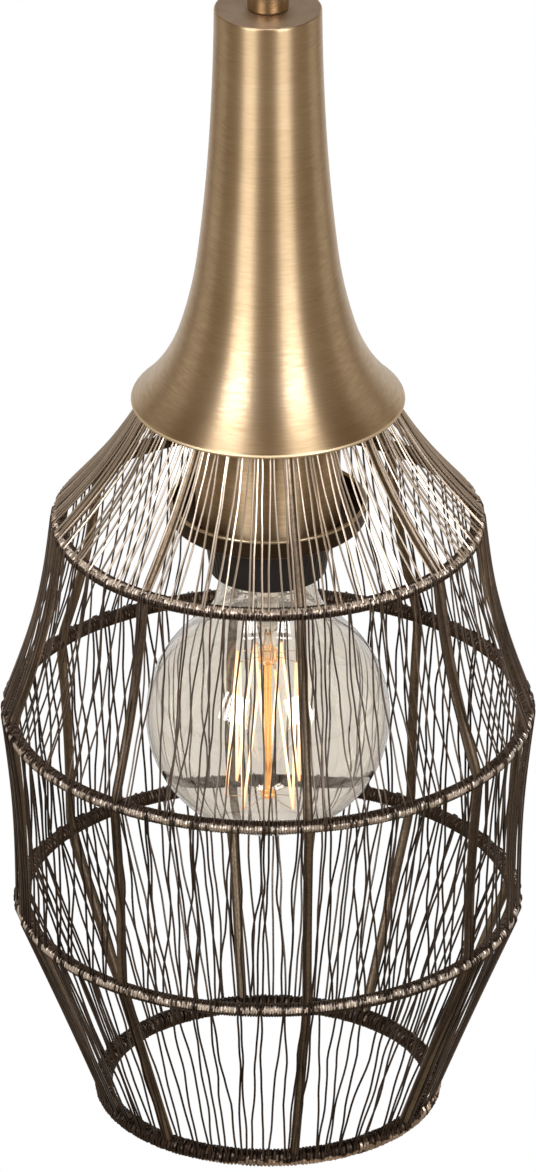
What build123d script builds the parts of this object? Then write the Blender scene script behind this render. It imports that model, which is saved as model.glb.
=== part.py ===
from build123d import *
from math import asin, atan, atan2, cos, hypot, pi, radians, sin, sqrt, tan
import os

# Pendant lamp with a trumpet cap and a laced wire cage
#
# A spun brass trumpet cap hangs from a cord grip by a hollow threaded tube. The
# tube also carries a cross-shaped spider, a brass cover cup and a lampholder. The
# spider holds the collar ring of a cage: five wire-bound rings on eight bent rods,
# with two fine wires laced up and down in every bay between two rods. A dark dish
# is clamped under the cover cup by the lampholder's skirt, and a clear globe bulb
# with a cage filament screws in from below and leaves through the cage mouth.
#
# Millimetres, +Z up. The origin is where the cord enters the top of the cord grip.
# The front of the lamp faces -Y, and angles around it run from the front towards +X.

# Clearances
close_gap = 0.05            # radial, between screwed, cemented or guided fits
slip_gap = 0.15             # radial, between pieces that drop over or into each other
contact_gap = 0.25          # bulb's tip below the contact plunger
flare_gap = 0.6             # spider arms inside the trumpet's flare
lace_gap = 0.6              # laced wires inside the trumpet's lip
cap_gap = 0.3               # radial, bulb cap inside the screw shell

# Cord grip
grip_diameter = 16.0
grip_height = 18.0
grip_edge = 1.0
cord_bore = 7.2
clamp_screw_diameter = 3.0
clamp_screw_drop = 6.5      # below the top of the grip
clamp_screw_travel = 1.5
slot_width = 0.8
slot_depth = 1.0

# Threaded tube, with its nuts, washers and earth tag
tube_diameter = 10.0
tube_bore = 6.0
tube_engagement = 9.0       # length screwed into the cord grip
washer_diameter = 19.0
washer_thickness = 1.0
nut_across_flats = 14.0
nut_height = 4.0
nut_chamfer = 0.5
tag_width = 6.0
tag_reach = 19.0
tag_thickness = 0.8
tag_hole = 3.0

# Trumpet cap: places down its side, and its slope off vertical in degrees at each
trumpet_wall = 1.2
trumpet_height = 166.0
neck_radius = 20.7
neck_edge = 0.8
neck_slope = 0.5
lower_neck_drop = 48.6      # below the cap's flat top
lower_neck_slope = 3.1
waist_height = 63.2         # above the lip
waist_slope = 7.0
flare_height = 30.3         # above the lip
flare_slope = 17.7
lip_radius = 52.5
lip_height = 1.7

# Cage: each ring's radius or how far in from the belly ring it is, its drop below
# the lip, and half the thickness of its bar
rod_count = 8
rod_diameter = 3.4
cage_turn = 9.0             # degrees from the front to the first rod
collar_rise = 4.0           # above the lip
collar_bar = 2.0
shoulder_inset = 19.5
shoulder_drop = 52.0
shoulder_bar = 2.9
belly_radius = 100.5
belly_drop = 133.5
belly_bar = 2.9
hip_inset = 4.5
hip_drop = 215.0
hip_bar = 2.9
mouth_inset = 36.0
mouth_drop = 296.5
mouth_bar = 3.7
facets_per_bay = 6          # straight lengths of ring between two rods
lace_diameter = 0.8
lace_wires = 2              # side by side in each bay
lace_runs = 9               # runs of each wire up and down

# Spider
spider_thickness = 1.5
spider_hub_diameter = 30.0
spider_arm_width = 8.0
spider_arm_count = 4
spider_overhang = 1.0       # arms past the middle of the collar ring

# Cover cup and dish
cover_radius = 28.0
cover_wall = 1.0
cover_height = 55.5
cover_edge = 2.5
dish_radius = 38.0
dish_wall = 1.0
dish_height = 8.5
dish_corner = 2.0
dish_bead = 0.75            # radius of the bead round the dish's rim

# Lampholder
holder_radius = 20.0
holder_wall = 2.2
boss_radius = 8.0
boss_height = 7.0
boss_round = 1.0
dome_height = 10.0
dome_round = 6.0
barrel_below_dish = 8.5
barrel_ledge = 1.6
ledge_above_end = 19.5      # barrel's ledge above its lower end
core_thickness = 8.0
spigot_length = 8.0
spigot_wall = 1.9
shell_wall = 0.5
shell_length = 23.0
shell_flange_hole = 17.0
terminal_offset = 8.0
terminal_length = 7.0
terminal_width = 6.0
terminal_height = 5.0
shell_stem_offset = 10.0
contact_stem_offset = 6.0
stem_diameter = 2.4
terminal_screw_diameter = 3.0
terminal_head_diameter = 5.0
terminal_head_height = 1.6
plunger_diameter = 2.6
plunger_button_diameter = 8.0
plunger_button_height = 1.6
plunger_head_diameter = 4.2
plunger_head_height = 0.6
plunger_travel = 1.5
spring_pocket_diameter = 6.4
spring_pocket_depth = 4.0
spring_wire = 0.5
spring_turns = 4
skirt_top_radius = 25.5
skirt_mouth_radius = 22.6
skirt_mouth_wall = 2.1
skirt_height = 21.5
skirt_edge = 0.8

# Bulb: a clear globe on a 27 mm screw cap
globe_diameter = 95.0
bulb_length = 140.0
glass_wall = 1.0
bulb_neck_radius = 18.3
bulb_spigot_length = 6.0    # glass inside the cap
cap_length = 26.0           # from the tip to the cap's lower edge
cap_diameter = 26.4
cap_wall = 0.4
cap_collar = 0.6            # how far the cap's lower edge stands out
cap_collar_height = 2.0
insulator_height = 3.0
insulator_tip_radius = 6.0
tip_radius = 4.5
tip_height = 1.0
stem_rim_height = 1.0
stem_cone_height = 15.0
stem_wall = 1.0
stem_tube_radius = 4.2
stem_tube_length = 20.0
stem_button_radius = 3.8
stem_button_height = 6.0
stem_rod_radius = 1.5
stem_end_radius = 2.6
stem_end_height = 3.0
filament_top = 25.5         # above the globe's centre
filament_bottom = 35.0      # below the globe's centre
filament_top_radius = 12.5
filament_bottom_radius = 16.5
filament_hairpins = 7
filament_gap_angle = 24.0   # degrees, open between the two leads
filament_width = 0.45
hook_diameter = 0.6
lead_diameter = 0.8
lead_exit = 1.0             # from the bottom of the stem's tube up to where a lead leaves it

# Radii and levels that follow, from the top down
tube_radius = tube_diameter / 2
thread_radius = tube_radius + close_gap
plate_hole_radius = tube_radius + slip_gap
neck_top = -grip_height
neck_underside = neck_top - trumpet_wall
tube_top = neck_top + tube_engagement
lip_level = neck_top - trumpet_height
collar_level = lip_level + collar_rise
cover_top = collar_level + collar_bar
spider_top = cover_top + spider_thickness
boss_top = cover_top - cover_wall
tube_end = boss_top - boss_height - holder_wall
dish_floor = cover_top - cover_height
dish_underside = dish_floor - dish_wall
skirt_mouth = dish_underside - skirt_height
barrel_end = dish_underside - barrel_below_dish
core_underside = barrel_end + ledge_above_end
core_top = core_underside + core_thickness
cap_joint = core_top + spigot_length
barrel_bore = holder_radius - holder_wall
core_radius = barrel_bore - slip_gap
shell_radius = cap_diameter / 2 + cap_gap + shell_wall
button_top = core_underside - plunger_travel - slip_gap
button_face = button_top - plunger_button_height
bulb_tip = button_face - contact_gap
cap_edge = bulb_tip - cap_length
cap_top = bulb_tip - tip_height - insulator_height
globe_radius = globe_diameter / 2
globe_centre = bulb_tip - bulb_length + globe_radius
filament_top_level = globe_centre + filament_top
filament_bottom_level = globe_centre - filament_bottom
bay = 360 / rod_count
facet = bay / facets_per_bay
lace_side = lace_diameter * sqrt(pi) / 2    # square wire with a round wire's section


def around(radius, angle, level):
    """Point at a radius and a level, at an angle from the front towards +X."""
    turn = radians(angle)
    return Vector(radius * sin(turn), -radius * cos(turn), level)


def lathe(*corners, rounds=()):
    """Solid of revolution from (radius, level) corners; rounds pairs corners with fillets."""
    outline = make_face(Polyline(*corners, close=True))
    for corner, radius in rounds:
        outline = fillet(outline.vertices().sort_by_distance(corner)[0], radius)
    return revolve(Plane.XZ * outline, Axis.Z)


def turned(*edges):
    """Solid of revolution from (radius, level) edges that close on themselves."""
    return revolve(Plane.XZ * make_face(edges), Axis.Z)


def disc(radius, top, height):
    """Round plate or plug hanging down from a level."""
    return Pos(0, 0, top) * Cylinder(radius, height, align=(Align.CENTER, Align.CENTER, Align.MAX))


def wire(points, section, sideways=None):
    """Wire bent along straight runs, mitred where it turns."""
    start = Plane(origin=points[0], z_dir=points[1] - points[0], x_dir=sideways)
    return sweep(start * section, path=Polyline(*points), transition=Transition.RIGHT)


# Trumpet cap: arcs that run smoothly into each other, from the neck to the lip
trumpet_drops = [0, lower_neck_drop]
trumpet_drops += [trumpet_height - above for above in (waist_height, flare_height, lip_height)]
trumpet_slopes = [radians(s) for s in (neck_slope, lower_neck_slope, waist_slope, flare_slope)]
trumpet_radii = [neck_radius]
for i in range(1, 4):
    run = trumpet_drops[i] - trumpet_drops[i - 1]
    trumpet_radii.append(trumpet_radii[-1] + run * tan((trumpet_slopes[i - 1] + trumpet_slopes[i]) / 2))
trumpet_radii.append(lip_radius)
flare_run = trumpet_drops[4] - trumpet_drops[3]
trumpet_slopes.append(2 * atan((lip_radius - trumpet_radii[3]) / flare_run) - trumpet_slopes[3])


def trumpet_line(inset):
    """Arcs of the trumpet's side, drawn in from its outer face by an inset."""
    points = [
        (radius - inset * cos(slope), neck_top - drop - inset * sin(slope))
        for radius, drop, slope in zip(trumpet_radii, trumpet_drops, trumpet_slopes)
    ]
    arcs = [
        TangentArc(start, end, tangent=(sin(slope), -cos(slope)))
        for start, end, slope in zip(points, points[1:], trumpet_slopes)
    ]
    return points, arcs


def trumpet_body(inset):
    """The trumpet as a solid plug, its side drawn in by an inset."""
    points, arcs = trumpet_line(inset)
    head, lip = points[0], points[-1]
    return turned(
        Line((0, head[1]), head),
        *arcs,
        Line(lip, (lip[0], lip_level)),
        Line((lip[0], lip_level), (0, lip_level)),
        Line((0, lip_level), (0, head[1])),
    )


def flare_inside(level):
    """Inner radius of the trumpet's flare at a level."""
    first, last = trumpet_slopes[3:]
    bend = (trumpet_drops[4] - trumpet_drops[3]) / (sin(last) - sin(first))
    centre_radius = trumpet_radii[3] + bend * cos(first)
    centre_level = neck_top - trumpet_drops[3] + bend * sin(first)
    return centre_radius - sqrt((bend + trumpet_wall) ** 2 - (level - centre_level) ** 2)


def trumpet_cap():
    """Spun cap: flat neck top with a hole for the tube, long neck, flare and turned-down lip."""
    body = trumpet_body(0)
    rim = body.edges().filter_by(GeomType.CIRCLE).group_by(Axis.Z)[-1]
    body = fillet(rim, neck_edge)
    hollow = trumpet_body(trumpet_wall) - disc(neck_radius, neck_top, trumpet_wall)
    return body - hollow - disc(plate_hole_radius, neck_top, trumpet_wall)


# Cord grip and threaded tube
def cord_grip_body():
    """Turned brass grip: cord bore above, tube thread below, clamp screw hole at the back."""
    body = lathe(
        (cord_bore / 2, 0),
        (grip_diameter / 2, 0),
        (grip_diameter / 2, neck_top),
        (thread_radius, neck_top),
        (thread_radius, tube_top),
        (cord_bore / 2, tube_top),
        rounds=[((grip_diameter / 2, 0), grip_edge), ((grip_diameter / 2, neck_top), grip_edge)],
    )
    hole = Plane(origin=(0, 0, -clamp_screw_drop), z_dir=(0, 1, 0)) * Cylinder(
        clamp_screw_diameter / 2,
        grip_diameter,
        align=(Align.CENTER, Align.CENTER, Align.MIN),
    )
    return body - hole


def cord_grip_screw():
    """Slotted grub screw from the grip's back face to the edge of the cord bore."""
    inner = cord_bore / 2 + clamp_screw_travel / 2
    length = grip_diameter / 2 - inner
    seat = Plane(origin=(0, inner, -clamp_screw_drop), z_dir=(0, 1, 0))
    screw = Cylinder(
        clamp_screw_diameter / 2 - close_gap,
        length,
        align=(Align.CENTER, Align.CENTER, Align.MIN),
    )
    slot = Pos(0, 0, length) * Box(
        clamp_screw_diameter,
        slot_width,
        slot_depth,
        align=(Align.CENTER, Align.CENTER, Align.MAX),
    )
    return seat * (screw - slot)


def threaded_tube():
    """Hollow tube that hangs everything from the cord grip."""
    length = tube_top - tube_end
    return disc(tube_radius, tube_top, length) - disc(tube_bore / 2, tube_top, length)


def washer(top, thickness):
    """Flat washer on the tube."""
    ring = disc(washer_diameter / 2, top, thickness)
    return ring - disc(plate_hole_radius, top, thickness)


def lock_nut(top):
    """Thin hexagon nut on the tube, its corners turned off at both faces."""
    across_corners = nut_across_flats / cos(radians(30))
    blank = Pos(0, 0, top - nut_height) * extrude(
        RegularPolygon(nut_across_flats / 2, 6, major_radius=False), nut_height
    )
    barrel = lathe(
        (0, top),
        (across_corners / 2 - nut_chamfer, top),
        (across_corners / 2, top - nut_chamfer),
        (across_corners / 2, top - nut_height + nut_chamfer),
        (across_corners / 2 - nut_chamfer, top - nut_height),
        (0, top - nut_height),
    )
    return (blank & barrel) - disc(thread_radius, top, nut_height)


def earth_tag():
    """Ring tag on the spider's hub, with a tongue for the earth wire."""
    top = spider_top + tag_thickness
    ring = disc(washer_diameter / 2, top, tag_thickness)
    tongue = Pos(0, 0, spider_top) * extrude(
        Pos(0, tag_reach / 2, 0) * Rectangle(tag_width, tag_reach)
        + Pos(0, tag_reach, 0) * Circle(tag_width / 2),
        tag_thickness,
    )
    wire_hole = Pos(0, tag_reach, 0) * disc(tag_hole / 2, top, tag_thickness)
    return ring + tongue - wire_hole - disc(plate_hole_radius, top, tag_thickness)


# Cage
shoulder_radius = belly_radius - shoulder_inset


def collar_inside_lip():
    """Radius of a collar ring whose wires clear the lip on their way to the shoulder ring."""
    wire_at_lip = lip_radius - trumpet_wall - lace_gap - lace_side / 2
    across = shoulder_radius - wire_at_lip
    stand_off = shoulder_bar + lace_side / 2
    slope = atan2(across, shoulder_drop) + asin(stand_off / hypot(across, shoulder_drop))
    return wire_at_lip - collar_rise * tan(slope) - (collar_bar + lace_side / 2) / cos(slope)


collar_radius = min(flare_inside(spider_top) - flare_gap - spider_overhang, collar_inside_lip())
cage_rings = {
    "collar_ring": (collar_radius, collar_level, collar_bar),
    "shoulder_ring": (shoulder_radius, lip_level - shoulder_drop, shoulder_bar),
    "belly_ring": (belly_radius, lip_level - belly_drop, belly_bar),
    "hip_ring": (belly_radius - hip_inset, lip_level - hip_drop, hip_bar),
    "mouth_ring": (belly_radius - mouth_inset, lip_level - mouth_drop, mouth_bar),
}


def cage_rods():
    """Round rods, bent at every ring, from the collar ring to the mouth ring."""
    rods = []
    for i in range(rod_count):
        angle = cage_turn + i * bay
        bends = [around(radius, angle, level) for radius, level, bar in cage_rings.values()]
        rods.append(wire(bends, Circle(rod_diameter / 2)))
    return rods


def wrapped_ring(radius, level, bar, rods):
    """Ring bar with its wire binding, in straight facets, with a hole for each rod."""
    corners = [around(radius, cage_turn + i * facet, level) for i in range(rod_count * facets_per_bay)]
    section = RegularPolygon(bar, 8, major_radius=False, rotation=22.5)
    across = Plane(origin=corners[0], z_dir=corners[1] - corners[-1], x_dir=(0, 0, 1))
    loop = Polyline(*corners, close=True)
    return sweep(across * section, path=loop, transition=Transition.RIGHT) - rods


def lacing(upper, lower):
    """Wires laced from ring to ring over their outer faces, side by side in every bay."""
    upper_radius, upper_level, upper_bar = upper
    lower_radius, lower_level, lower_bar = lower
    span = hypot(lower_radius - upper_radius, upper_level - lower_level)
    outward = (upper_level - lower_level) / span
    upward = (lower_radius - upper_radius) / span

    def over_ring(ring, angle):
        radius, level, bar = ring
        stand_off = bar + lace_side / 2
        off_middle = (angle - cage_turn) % facet - facet / 2
        reach = radius * cos(radians(facet / 2)) + outward * stand_off
        return around(reach / cos(radians(off_middle)), angle, level + upward * stand_off)

    wires = []
    width = bay / lace_wires
    for i in range(rod_count * lace_wires):
        points = []
        for run in range(lace_runs):
            angle = cage_turn + width * (i + (run + 0.5) / lace_runs)
            ends = [over_ring(upper, angle), over_ring(lower, angle)]
            points += ends if run % 2 == 0 else reversed(ends)
        sideways = around(1, cage_turn + width * i + 90, 0)
        wires.append(wire(points, Rectangle(lace_side, lace_side), sideways))
    return wires


def cage_spider():
    """Flat cross on the tube, its arms resting on the collar ring between rods."""
    reach = collar_radius + spider_overhang
    outline = Circle(spider_hub_diameter / 2)
    for i in range(spider_arm_count):
        angle = cage_turn + bay / 2 + i * 360 / spider_arm_count - 90
        outline += Rot(0, 0, angle) * Pos(reach / 2, 0) * Rectangle(reach, spider_arm_width)
    outline -= Circle(plate_hole_radius)
    return Pos(0, 0, cover_top) * extrude(outline, spider_thickness)


# Cover cup and dish
def cover_cup():
    """Spun brass cup over the lampholder, standing on the dish's floor."""
    inner_top = cover_top - cover_wall
    inner_radius = cover_radius - cover_wall
    return lathe(
        (plate_hole_radius, cover_top),
        (cover_radius, cover_top),
        (cover_radius, dish_floor),
        (inner_radius, dish_floor),
        (inner_radius, inner_top),
        (plate_hole_radius, inner_top),
        rounds=[
            ((cover_radius, cover_top), cover_edge),
            ((inner_radius, inner_top), cover_edge - cover_wall),
        ],
    )


def shallow_dish():
    """Shallow dish between the cover cup and the skirt, with a beaded rim."""
    rim = dish_underside + dish_height - dish_bead
    inner = dish_radius - dish_wall
    hole = holder_radius + slip_gap
    dish = lathe(
        (hole, dish_floor),
        (inner, dish_floor),
        (inner, rim),
        (dish_radius, rim),
        (dish_radius, dish_underside),
        (hole, dish_underside),
        rounds=[
            ((dish_radius, dish_underside), dish_corner),
            ((inner, dish_floor), dish_corner - dish_wall),
        ],
    )
    bead = Pos(0, 0, rim) * Torus(dish_radius - dish_wall / 2, dish_bead)
    return dish + bead


# Lampholder
def holder_cap():
    """Moulded dome on the tube's end, with a spigot that screws into the barrel."""
    shoulder = boss_top - boss_height
    dome_foot = shoulder - dome_height
    inner_top = shoulder - holder_wall
    spigot_radius = barrel_bore - close_gap
    return lathe(
        (thread_radius, boss_top),
        (boss_radius, boss_top),
        (boss_radius, shoulder),
        (holder_radius, dome_foot),
        (holder_radius, cap_joint),
        (spigot_radius, cap_joint),
        (spigot_radius, core_top),
        (spigot_radius - spigot_wall, core_top),
        (spigot_radius - spigot_wall, dome_foot - holder_wall),
        (boss_radius, inner_top),
        (thread_radius, inner_top),
        rounds=[
            ((boss_radius, shoulder), boss_round),
            ((holder_radius, dome_foot), dome_round),
        ],
    )


def holder_barrel():
    """Moulded barrel through the dish: a ledge for the core, a thread for the skirt."""
    return lathe(
        (barrel_bore, cap_joint),
        (holder_radius, cap_joint),
        (holder_radius, barrel_end),
        (barrel_bore - barrel_ledge, barrel_end),
        (barrel_bore - barrel_ledge, core_underside),
        (barrel_bore, core_underside),
    )


def holder_core():
    """Porcelain disc with holes for the terminals' stems and a guide for the plunger."""
    core = disc(core_radius, core_top, core_thickness)
    core -= disc(plunger_diameter / 2 + close_gap, core_top, core_thickness)
    pocket_top = core_underside + spring_pocket_depth
    core -= disc(spring_pocket_diameter / 2, pocket_top, spring_pocket_depth)
    for offset in (shell_stem_offset, -contact_stem_offset):
        core -= Pos(offset, 0, 0) * disc(stem_diameter / 2 + close_gap, core_top, core_thickness)
    return core


def terminals():
    """Two brass blocks on the core, with stems to the shell's flange and to the core's face."""
    blocks = []
    for side, stem_offset in ((1, shell_stem_offset), (-1, contact_stem_offset)):
        block = Pos(side * terminal_offset, 0, core_top) * Box(
            terminal_length,
            terminal_width,
            terminal_height,
            align=(Align.CENTER, Align.CENTER, Align.MIN),
        )
        screw_hole = Pos(side * terminal_offset, 0, 0) * disc(
            terminal_screw_diameter / 2 + close_gap, core_top + terminal_height, terminal_height
        )
        stem = Pos(side * stem_offset, 0, 0) * disc(stem_diameter / 2, core_top, core_thickness)
        blocks.append(block - screw_hole + stem)
    return blocks


def terminal_screws():
    """Cheese-head screws in the terminals, with a slot across each head."""
    screws = []
    head_top = core_top + terminal_height + terminal_head_height
    for side in (1, -1):
        head = disc(terminal_head_diameter / 2, head_top, terminal_head_height)
        shank = disc(terminal_screw_diameter / 2, head_top, terminal_head_height + terminal_height)
        slot = Pos(0, 0, head_top) * Box(
            slot_width,
            terminal_head_diameter,
            slot_depth,
            align=(Align.CENTER, Align.CENTER, Align.MAX),
        )
        screws.append(Pos(side * terminal_offset, 0, 0) * (head + shank - slot))
    return screws


def screw_shell():
    """Pressed brass shell for the bulb's cap, its flange against the core."""
    bottom = core_underside - shell_length
    inner = shell_radius - shell_wall
    flange_face = core_underside - shell_wall
    return lathe(
        (shell_flange_hole / 2, core_underside),
        (shell_radius, core_underside),
        (shell_radius, bottom),
        (inner, bottom),
        (inner, flange_face),
        (shell_flange_hole / 2, flange_face),
    )


def contact_plunger():
    """Brass plunger that touches the bulb's tip, held in the core by a head above it."""
    button = disc(plunger_button_diameter / 2, button_top, plunger_button_height)
    shank = disc(plunger_diameter / 2, core_top, core_top - button_top)
    head = disc(plunger_head_diameter / 2, core_top + plunger_head_height, plunger_head_height)
    return button + shank + head


def contact_spring():
    """Coil spring round the plunger, from the pocket's end to the button, with flat ends."""
    sides = 12
    steps = spring_turns * sides
    top = core_underside + spring_pocket_depth - spring_wire / 2
    drop = top - button_top - spring_wire / 2 - slip_gap
    radius = (plunger_diameter + spring_pocket_diameter) / 4
    points = []
    for i in range(steps + 1):
        share = min(max((i - sides / 2) / (steps - sides), 0), 1)
        points.append(around(radius, i * 360 / sides, top - drop * share))
    return wire(points, Rectangle(spring_wire, spring_wire), (0, 0, 1))


def holder_skirt():
    """Tapered skirt that screws up the barrel and clamps the dish."""
    thread = holder_radius + close_gap
    mouth = skirt_mouth_radius - skirt_mouth_wall
    return lathe(
        (thread, dish_underside),
        (skirt_top_radius, dish_underside),
        (skirt_mouth_radius, skirt_mouth),
        (mouth, skirt_mouth),
        (mouth, barrel_end),
        (thread, barrel_end),
        rounds=[
            ((skirt_top_radius, dish_underside), skirt_edge),
            ((skirt_mouth_radius, skirt_mouth), skirt_edge),
        ],
    )


# Bulb
def bulb_cap():
    """Screw cap of the bulb, with its lower edge rolled outwards over the glass."""
    radius = cap_diameter / 2
    bore = radius - cap_wall
    return lathe(
        (bore, cap_top),
        (radius, cap_top),
        (radius, cap_edge + cap_collar_height),
        (radius + cap_collar, cap_edge + cap_collar_height / 2),
        (radius + cap_collar, cap_edge),
        (bore, cap_edge),
    )


def cap_insulator():
    """Glass insulator that closes the end of the cap round the tip."""
    rim = cap_diameter / 2
    return lathe(
        (0, cap_top),
        (rim, cap_top),
        (insulator_tip_radius, cap_top + insulator_height),
        (0, cap_top + insulator_height),
    )


def cap_tip():
    """Soldered centre contact of the bulb."""
    return lathe(
        (0, bulb_tip),
        (tip_radius, bulb_tip),
        (tip_radius, bulb_tip - tip_height),
        (0, bulb_tip - tip_height),
        rounds=[((tip_radius, bulb_tip), tip_height / 2)],
    )


def glass_body(inset):
    """The bulb's glass as a solid plug, drawn in by an inset."""
    spigot = cap_diameter / 2 - cap_wall - close_gap
    shoulder = bulb_neck_radius - spigot
    neck_level = cap_edge - shoulder
    rise = neck_level - globe_centre
    flare = (rise ** 2 - globe_radius ** 2 + bulb_neck_radius ** 2) / (2 * (globe_radius - bulb_neck_radius))
    flare_centre = bulb_neck_radius + flare
    share = globe_radius / (globe_radius + flare)
    start = (spigot - inset, cap_edge + bulb_spigot_length)
    bend = (spigot - inset, cap_edge - inset)
    neck = (bulb_neck_radius - inset, neck_level)
    inner_share = share - inset / (globe_radius + flare)
    meeting = (flare_centre * inner_share, globe_centre + rise * inner_share)
    bottom = (0, globe_centre - globe_radius + inset)
    side = (globe_radius - inset, globe_centre)
    return turned(
        Line((0, start[1]), start),
        Line(start, bend),
        RadiusArc(bend, neck, shoulder - inset),
        TangentArc(neck, meeting, tangent=(0, -1)),
        ThreePointArc(meeting, side, bottom),
        Line(bottom, (0, start[1])),
    )


def bulb_glass():
    """Blown globe with a short wide neck, hollow and open inside the cap."""
    return glass_body(0) - glass_body(glass_wall)


def bulb_stem():
    """Glass stem: rim on the glass in the cap, cone, tube, button, rod and end."""
    rim_foot = cap_edge + bulb_spigot_length
    rim_top = rim_foot + stem_rim_height
    rim = cap_diameter / 2 - cap_wall - close_gap
    cone_top = rim - 2 * stem_wall - close_gap
    cone_foot = rim_foot - stem_cone_height
    tube_foot = cone_foot - stem_tube_length
    button_foot = filament_top_level - stem_button_height / 2
    button_head = filament_top_level + stem_button_height / 2
    stem = lathe(
        (0, cone_foot),
        (stem_tube_radius - stem_wall, cone_foot),
        (cone_top - stem_wall, rim_top),
        (rim, rim_top),
        (rim, rim_foot),
        (cone_top, rim_foot),
        (stem_tube_radius, cone_foot),
        (stem_tube_radius, tube_foot),
        (stem_rod_radius, tube_foot),
        (stem_rod_radius, filament_bottom_level),
        (0, filament_bottom_level),
        rounds=[((stem_tube_radius, tube_foot), stem_wall)],
    )
    button = lathe(
        (0, button_head),
        (stem_button_radius, button_head),
        (stem_button_radius, button_foot),
        (0, button_foot),
        rounds=[
            ((stem_button_radius, button_head), stem_button_radius / 2),
            ((stem_button_radius, button_foot), stem_button_radius / 2),
        ],
    )
    end = lathe(
        (0, filament_bottom_level + stem_end_height / 2),
        (stem_end_radius, filament_bottom_level + stem_end_height / 2),
        (stem_end_radius, filament_bottom_level - stem_end_height / 2),
        (0, filament_bottom_level - stem_end_height / 2),
        rounds=[((stem_end_radius, filament_bottom_level - stem_end_height / 2), stem_end_radius / 2)],
    )
    return stem + button + end


def filament_points():
    """Turning points of the filament, bottom and top by turns, with a lead at each end."""
    step = (360 - filament_gap_angle) / (2 * filament_hairpins)
    points = []
    for i in range(2 * filament_hairpins + 1):
        angle = filament_gap_angle / 2 + i * step
        if i % 2:
            points.append(around(filament_bottom_radius, angle, filament_bottom_level))
        else:
            points.append(around(filament_top_radius, angle, filament_top_level))
    return points


def filament():
    """One filament wire, bent up and down round the stem."""
    points = filament_points()
    return wire(points, Rectangle(filament_width, filament_width), around(1, 90, 0))


def filament_hooks():
    """Hooks from the stem's button and end out to the filament's turning points."""
    hooks = []
    for i, tip in enumerate(filament_points()[1:-1]):
        root_radius = stem_end_radius if i % 2 == 0 else stem_button_radius
        root = Vector(tip.X, tip.Y, 0).normalized() * (root_radius - hook_diameter) + Vector(0, 0, tip.Z)
        hooks.append(wire([root, tip], Circle(hook_diameter / 2)))
    return hooks


def lead_wires():
    """Two leads from the stem's tube to the ends of the filament."""
    tube_foot = cap_edge + bulb_spigot_length - stem_cone_height - stem_tube_length
    leads = []
    for tip in (filament_points()[0], filament_points()[-1]):
        outward = Vector(tip.X, tip.Y, 0).normalized()
        root = outward * (stem_tube_radius - lead_diameter) + Vector(0, 0, tube_foot + lead_exit)
        leads.append(wire([root, tip], Circle(lead_diameter / 2)))
    return leads


# All pieces, each under its node's name
rods = cage_rods()
rings = list(cage_rings.values())
nodes = {
    "cord_grip_body": cord_grip_body(),
    "cord_grip_screw": cord_grip_screw(),
    "threaded_tube": threaded_tube(),
    "trumpet_cap": trumpet_cap(),
    "neck_washer": washer(neck_underside, washer_thickness),
    "neck_lock_nut": lock_nut(neck_underside - washer_thickness),
    "cage_lock_nut": lock_nut(spider_top + tag_thickness + washer_thickness + nut_height),
    "cage_washer": washer(spider_top + tag_thickness + washer_thickness, washer_thickness),
    "earth_tag": earth_tag(),
    "cage_spider": cage_spider(),
    "cage_rods": rods,
    "cover_cup": cover_cup(),
    "shallow_dish": shallow_dish(),
    "holder_cap": holder_cap(),
    "holder_barrel": holder_barrel(),
    "holder_core": holder_core(),
    "holder_terminals": terminals(),
    "terminal_screws": terminal_screws(),
    "screw_shell": screw_shell(),
    "contact_plunger": contact_plunger(),
    "contact_spring": contact_spring(),
    "holder_skirt": holder_skirt(),
    "bulb_cap": bulb_cap(),
    "cap_insulator": cap_insulator(),
    "cap_tip": cap_tip(),
    "bulb_glass": bulb_glass(),
    "bulb_stem": bulb_stem(),
    "filament": filament(),
    "filament_hooks": filament_hooks(),
    "lead_wires": lead_wires(),
}
for name, (radius, level, bar) in cage_rings.items():
    nodes[name] = wrapped_ring(radius, level, bar, rods)
for i, (upper, lower) in enumerate(zip(rings, rings[1:])):
    nodes[f"lacing_tier_{i + 1}"] = lacing(upper, lower)

os.makedirs("parts", exist_ok=True)
for name, shape in nodes.items():
    export_step(Compound(shape) if isinstance(shape, list) else shape, f"parts/{name}.step")
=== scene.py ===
import math

import bpy
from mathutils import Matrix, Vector


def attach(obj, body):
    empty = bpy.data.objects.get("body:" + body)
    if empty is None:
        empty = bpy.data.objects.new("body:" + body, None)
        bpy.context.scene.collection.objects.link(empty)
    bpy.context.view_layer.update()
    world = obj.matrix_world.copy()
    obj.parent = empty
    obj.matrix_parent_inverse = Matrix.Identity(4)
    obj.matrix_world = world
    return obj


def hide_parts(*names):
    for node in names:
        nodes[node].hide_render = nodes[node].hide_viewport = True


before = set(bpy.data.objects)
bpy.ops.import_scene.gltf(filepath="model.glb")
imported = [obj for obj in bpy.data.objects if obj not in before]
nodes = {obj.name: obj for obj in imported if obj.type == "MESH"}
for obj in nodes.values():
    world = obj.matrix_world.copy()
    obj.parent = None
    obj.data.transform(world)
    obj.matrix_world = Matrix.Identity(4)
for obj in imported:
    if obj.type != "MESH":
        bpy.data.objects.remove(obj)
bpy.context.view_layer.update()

# Looks of a pendant lamp with a brass trumpet cap and a laced wire cage
#
# Lengths in this script are millimetres until a mesh is made, and metres in node trees.
# The origin is where the cord enters, +Z is up, the front faces -Y, and angles run from
# the front towards +X.
MM = 0.001
CREASE = math.radians(32)
GLASS_IOR = 1.46

# Trumpet cap: (radius, level, slope off vertical in degrees) down its side
TRUMPET = [
    (20.7, -18.0, 0.5),
    (22.2304, -66.6, 3.1),
    (27.0183, -120.8, 7.0),
    (34.2212, -153.7, 17.7),
    (52.5, -182.3, 47.5),
]
TRUMPET_WALL = 1.2

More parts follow.
